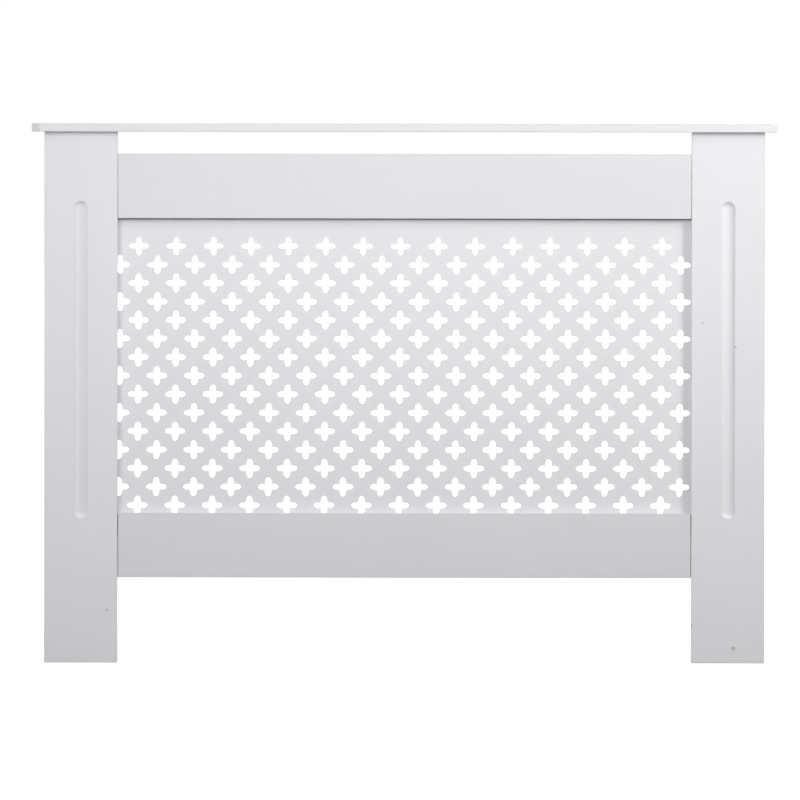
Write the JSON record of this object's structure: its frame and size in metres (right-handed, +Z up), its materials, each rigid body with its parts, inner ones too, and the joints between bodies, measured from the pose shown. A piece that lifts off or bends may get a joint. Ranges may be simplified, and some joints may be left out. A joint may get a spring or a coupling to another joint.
{
  "type": "radiator cover cabinet",
  "caption": "White painted fibreboard cabinet, open at the back, that covers a wall radiator with a shelf, fluted legs, side panels, rails and a fretwork panel.",
  "frame": {"origin": "on the floor under the middle of the shelf", "axes": "+X to the right seen from the front, along the shelf; +Y back to the wall, so the front faces -Y; +Z up"},
  "size_m": [1.12, 0.19, 0.81],
  "materials": {
    "painted_board": "smooth satin white paint on fibreboard",
    "painted_hardboard": "smooth satin white paint on thin hardboard",
    "cam_zinc": "bright zinc plated",
    "screw_steel": "bright zinc plated",
    "bracket_steel": "bright zinc plated",
    "beech_dowel": "raw fluted beech"
  },
  "bodies": {
    "root": {"fretwork_panel": "painted_hardboard", "fretwork_screw_left_leg_1": "screw_steel", "fretwork_screw_left_leg_2": "screw_steel", "fretwork_screw_lower_left": "screw_steel", "fretwork_screw_lower_right": "screw_steel", "fretwork_screw_right_leg_1": "screw_steel", "fretwork_screw_right_leg_2": "screw_steel", "fretwork_screw_upper_left": "screw_steel", "fretwork_screw_upper_right": "screw_steel", "left_bracket_screw": "screw_steel", "left_leg": "painted_board", "left_shelf_bolt": "cam_zinc", "left_shelf_cam": "cam_zinc", "left_shelf_front_dowel": "beech_dowel", "left_shelf_rear_dowel": "beech_dowel", "left_side_lower_bolt": "cam_zinc", "left_side_lower_cam": "cam_zinc", "left_side_lower_dowel": "beech_dowel", "left_side_panel": "painted_board", "left_side_upper_bolt": "cam_zinc", "left_side_upper_cam": "cam_zinc", "left_side_upper_dowel": "beech_dowel", "left_wall_bracket": "bracket_steel", "lower_rail": "painted_board", "lower_rail_left_bolt": "cam_zinc", "lower_rail_left_cam": "cam_zinc", "lower_rail_left_dowel": "beech_dowel", "lower_rail_right_bolt": "cam_zinc", "lower_rail_right_cam": "cam_zinc", "lower_rail_right_dowel": "beech_dowel", "right_bracket_screw": "screw_steel", "right_leg": "painted_board", "right_shelf_bolt": "cam_zinc", "right_shelf_cam": "cam_zinc", "right_shelf_front_dowel": "beech_dowel", "right_shelf_rear_dowel": "beech_dowel", "right_side_lower_bolt": "cam_zinc", "right_side_lower_cam": "cam_zinc", "right_side_lower_dowel": "beech_dowel", "right_side_panel": "painted_board", "right_side_upper_bolt": "cam_zinc", "right_side_upper_cam": "cam_zinc", "right_side_upper_dowel": "beech_dowel", "right_wall_bracket": "bracket_steel", "shelf": "painted_board", "upper_rail": "painted_board", "upper_rail_left_bolt": "cam_zinc", "upper_rail_left_cam": "cam_zinc", "upper_rail_left_dowel": "beech_dowel", "upper_rail_right_bolt": "cam_zinc", "upper_rail_right_cam": "cam_zinc", "upper_rail_right_dowel": "beech_dowel"}
  },
  "joints": []
}
